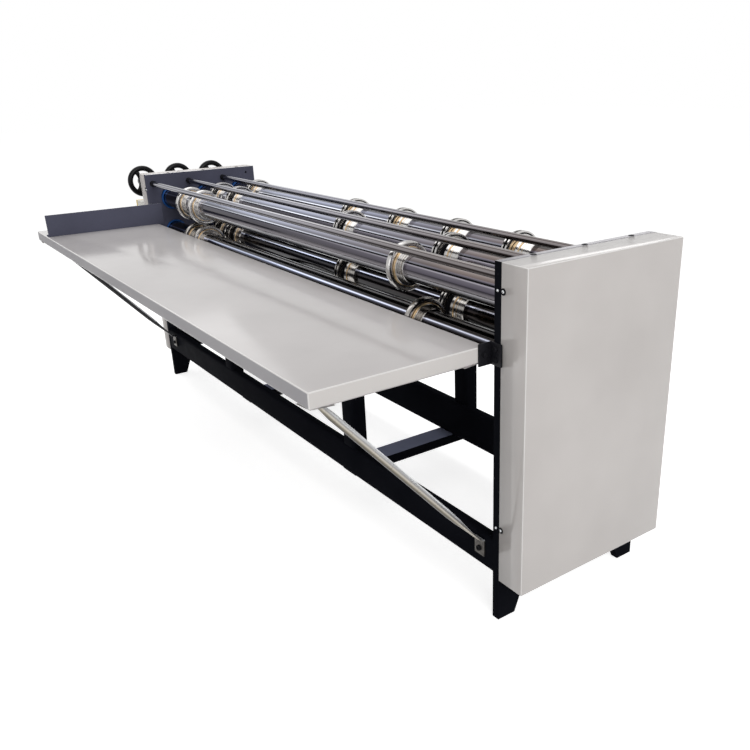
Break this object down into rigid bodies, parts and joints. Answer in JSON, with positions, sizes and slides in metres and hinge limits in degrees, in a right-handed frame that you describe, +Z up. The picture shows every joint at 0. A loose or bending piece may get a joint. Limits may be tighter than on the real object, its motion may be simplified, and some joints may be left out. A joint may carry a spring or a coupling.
{
  "type": "paperboard slitter scorer",
  "caption": "Wide floor machine with geared pairs of tool shafts between two walls, sliding slitting and scoring tools, handwheels for the gap and a feed table with a side fence.",
  "frame": {"origin": "on the floor under the middle of the whole machine", "axes": "+X along the shafts to the gear side, +Y from the feed table to the back, +Z up"},
  "size_m": [3.165, 1.155, 1.134],
  "materials": {
    "dark_paint": "satin paint",
    "pale_paint": "gloss paint",
    "polished_steel": "polished",
    "plain_steel": "machined",
    "blue_casting": "blue paint",
    "galvanised": "galvanised",
    "black_paint": "satin black",
    "black_plastic": "moulded",
    "pale_plastic": "moulded",
    "yellow_plastic": "moulded",
    "red_plastic": "moulded"
  },
  "bodies": {
    "frame": {"left_wall": "dark_paint", "right_wall": "dark_paint", "front_beam": "dark_paint", "rear_beam": "dark_paint", "middle_posts": "dark_paint", "middle_rails": "dark_paint", "left_cover": "pale_paint", "right_cover": "pale_paint", "cover_screws": "plain_steel", "frame_bolts": "plain_steel", "lower_bearings": "blue_casting", "slide_guides": "plain_steel", "drive_motor": "dark_paint", "feed_table": "pale_paint", "table_brackets": "black_paint", "table_struts": "galvanised", "table_bolts": "plain_steel", "stop_box": "pale_plastic", "stop_lid": "yellow_plastic"},
    "side_fence": {"side_fence": "dark_paint", "fence_screws": "black_plastic"},
    "stop_button": {"stop_button": "red_plastic"},
    "motor_pinion": {"motor_pinion": "plain_steel"},
    "idler_front": {"idler_gear_front": "plain_steel"},
    "idler_rear": {"idler_gear_rear": "plain_steel"},
    "lower_front": {"lower_shaft_front": "polished_steel", "lower_gear_front": "plain_steel", "lower_tools_front": "polished_steel"},
    "upper_front": {"upper_shaft_front": "polished_steel", "upper_gear_front": "plain_steel", "upper_tools_front": "polished_steel"},
    "lift_front": {"bearing_slide_front": "blue_casting"},
    "setting_front": {"setting_rod_front": "polished_steel", "handwheel_front": "black_plastic"},
    "upper_tool_front_1": {"upper_tool_front_1": "polished_steel"},
    "lower_tool_front_1": {"lower_tool_front_1": "polished_steel"},
    "lower_mid": {"lower_shaft_mid": "polished_steel", "lower_gear_mid": "plain_steel", "lower_tools_mid": "polished_steel"},
    "upper_mid": {"upper_shaft_mid": "polished_steel", "upper_gear_mid": "plain_steel", "upper_tools_mid": "polished_steel"},
    "lift_mid": {"bearing_slide_mid": "blue_casting"},
    "setting_mid": {"setting_rod_mid": "polished_steel", "handwheel_mid": "black_plastic"},
    "upper_tool_mid_1": {"upper_tool_mid_1": "polished_steel"},
    "lower_tool_mid_1": {"lower_tool_mid_1": "polished_steel"},
    "upper_tool_mid_2": {"upper_tool_mid_2": "polished_steel"},
    "lower_tool_mid_2": {"lower_tool_mid_2": "polished_steel"},
    "lower_rear": {"lower_shaft_rear": "polished_steel", "lower_gear_rear": "plain_steel", "lower_tools_rear": "polished_steel"},
    "upper_rear": {"upper_shaft_rear": "polished_steel", "upper_gear_rear": "plain_steel", "upper_tools_rear": "polished_steel"},
    "lift_rear": {"bearing_slide_rear": "blue_casting"},
    "setting_rear": {"setting_rod_rear": "polished_steel", "handwheel_rear": "black_plastic"},
    "upper_tool_rear_1": {"upper_tool_rear_1": "polished_steel"},
    "lower_tool_rear_1": {"lower_tool_rear_1": "polished_steel"}
  },
  "joints": [
    {"name": "drive_spin", "type": "hinge", "parent": "frame", "child": "lower_mid", "pos_m": [0.0725, 0.2875, 0.804], "axis": [1, 0, 0], "continuous": true},
    {"name": "lower_front_spin", "type": "hinge", "parent": "frame", "child": "lower_front", "pos_m": [0.0725, 0.0955, 0.804], "axis": [1, 0, 0], "continuous": true},
    {"name": "lift_front", "type": "slide", "parent": "frame", "child": "lift_front", "axis": [0, 0, 1], "range_m": [0, 0.006]},
    {"name": "upper_front_spin", "type": "hinge", "parent": "lift_front", "child": "upper_front", "pos_m": [0.0725, 0.0955, 0.972], "axis": [1, 0, 0], "continuous": true},
    {"name": "handwheel_front", "type": "hinge", "parent": "frame", "child": "setting_front", "pos_m": [0.0725, 0.0035, 1.054], "axis": [1, 0, 0], "range_deg": [-1, 36]},
    {"name": "upper_tool_front_1_slide", "type": "slide", "parent": "upper_front", "child": "upper_tool_front_1", "axis": [1, 0, 0], "range_m": [-0.1, 0.1]},
    {"name": "lower_tool_front_1_slide", "type": "slide", "parent": "lower_front", "child": "lower_tool_front_1", "axis": [1, 0, 0], "range_m": [-0.1, 0.1]},
    {"name": "lift_mid", "type": "slide", "parent": "frame", "child": "lift_mid", "axis": [0, 0, 1], "range_m": [0, 0.006]},
    {"name": "upper_mid_spin", "type": "hinge", "parent": "lift_mid", "child": "upper_mid", "pos_m": [0.0725, 0.2875, 0.972], "axis": [1, 0, 0], "continuous": true},
    {"name": "handwheel_mid", "type": "hinge", "parent": "frame", "child": "setting_mid", "pos_m": [0.0725, 0.1955, 1.054], "axis": [1, 0, 0], "range_deg": [-1, 36]},
    {"name": "upper_tool_mid_1_slide", "type": "slide", "parent": "upper_mid", "child": "upper_tool_mid_1", "axis": [1, 0, 0], "range_m": [-0.1, 0.1]},
    {"name": "lower_tool_mid_1_slide", "type": "slide", "parent": "lower_mid", "child": "lower_tool_mid_1", "axis": [1, 0, 0], "range_m": [-0.1, 0.1]},
    {"name": "upper_tool_mid_2_slide", "type": "slide", "parent": "upper_mid", "child": "upper_tool_mid_2", "axis": [1, 0, 0], "range_m": [-0.1, 0.1]},
    {"name": "lower_tool_mid_2_slide", "type": "slide", "parent": "lower_mid", "child": "lower_tool_mid_2", "axis": [1, 0, 0], "range_m": [-0.1, 0.1]},
    {"name": "lower_rear_spin", "type": "hinge", "parent": "frame", "child": "lower_rear", "pos_m": [0.0725, 0.4795, 0.804], "axis": [1, 0, 0], "continuous": true},
    {"name": "lift_rear", "type": "slide", "parent": "frame", "child": "lift_rear", "axis": [0, 0, 1], "range_m": [0, 0.006]},
    {"name": "upper_rear_spin", "type": "hinge", "parent": "lift_rear", "child": "upper_rear", "pos_m": [0.0725, 0.4795, 0.972], "axis": [1, 0, 0], "continuous": true},
    {"name": "handwheel_rear", "type": "hinge", "parent": "frame", "child": "setting_rear", "pos_m": [0.0725, 0.3875, 1.054], "axis": [1, 0, 0], "range_deg": [-1, 36]},
    {"name": "upper_tool_rear_1_slide", "type": "slide", "parent": "upper_rear", "child": "upper_tool_rear_1", "axis": [1, 0, 0], "range_m": [-0.1, 0.1]},
    {"name": "lower_tool_rear_1_slide", "type": "slide", "parent": "lower_rear", "child": "lower_tool_rear_1", "axis": [1, 0, 0], "range_m": [-0.1, 0.1]},
    {"name": "idler_front_spin", "type": "hinge", "parent": "frame", "child": "idler_front", "pos_m": [0.0725, 0.1915, 0.68874], "axis": [1, 0, 0], "continuous": true},
    {"name": "idler_rear_spin", "type": "hinge", "parent": "frame", "child": "idler_rear", "pos_m": [0.0725, 0.3835, 0.68874], "axis": [1, 0, 0], "continuous": true},
    {"name": "motor_spin", "type": "hinge", "parent": "frame", "child": "motor_pinion", "pos_m": [0.0725, 0.3835, 0.57474], "axis": [1, 0, 0], "continuous": true},
    {"name": "fence_slide", "type": "slide", "parent": "frame", "child": "side_fence", "axis": [1, 0, 0], "range_m": [-0.06, 0.015]},
    {"name": "stop_press", "type": "slide", "parent": "frame", "child": "stop_button", "axis": [1, 0, 0], "range_m": [0, 0.005], "stiffness_N_per_m": 600}
  ],
  "couplings": [
    {"joint": "lower_front_spin", "follows": "drive_spin", "ratio": 1},
    {"joint": "upper_front_spin", "follows": "drive_spin", "ratio": -1},
    {"joint": "handwheel_front", "follows": "lift_front", "rad_per_m": 100},
    {"joint": "upper_mid_spin", "follows": "drive_spin", "ratio": -1},
    {"joint": "handwheel_mid", "follows": "lift_mid", "rad_per_m": 100},
    {"joint": "lower_rear_spin", "follows": "drive_spin", "ratio": 1},
    {"joint": "upper_rear_spin", "follows": "drive_spin", "ratio": -1},
    {"joint": "handwheel_rear", "follows": "lift_rear", "rad_per_m": 100},
    {"joint": "idler_front_spin", "follows": "drive_spin", "ratio": -1.2727},
    {"joint": "idler_rear_spin", "follows": "drive_spin", "ratio": -1.2727},
    {"joint": "motor_spin", "follows": "drive_spin", "ratio": 1.75}
  ]
}
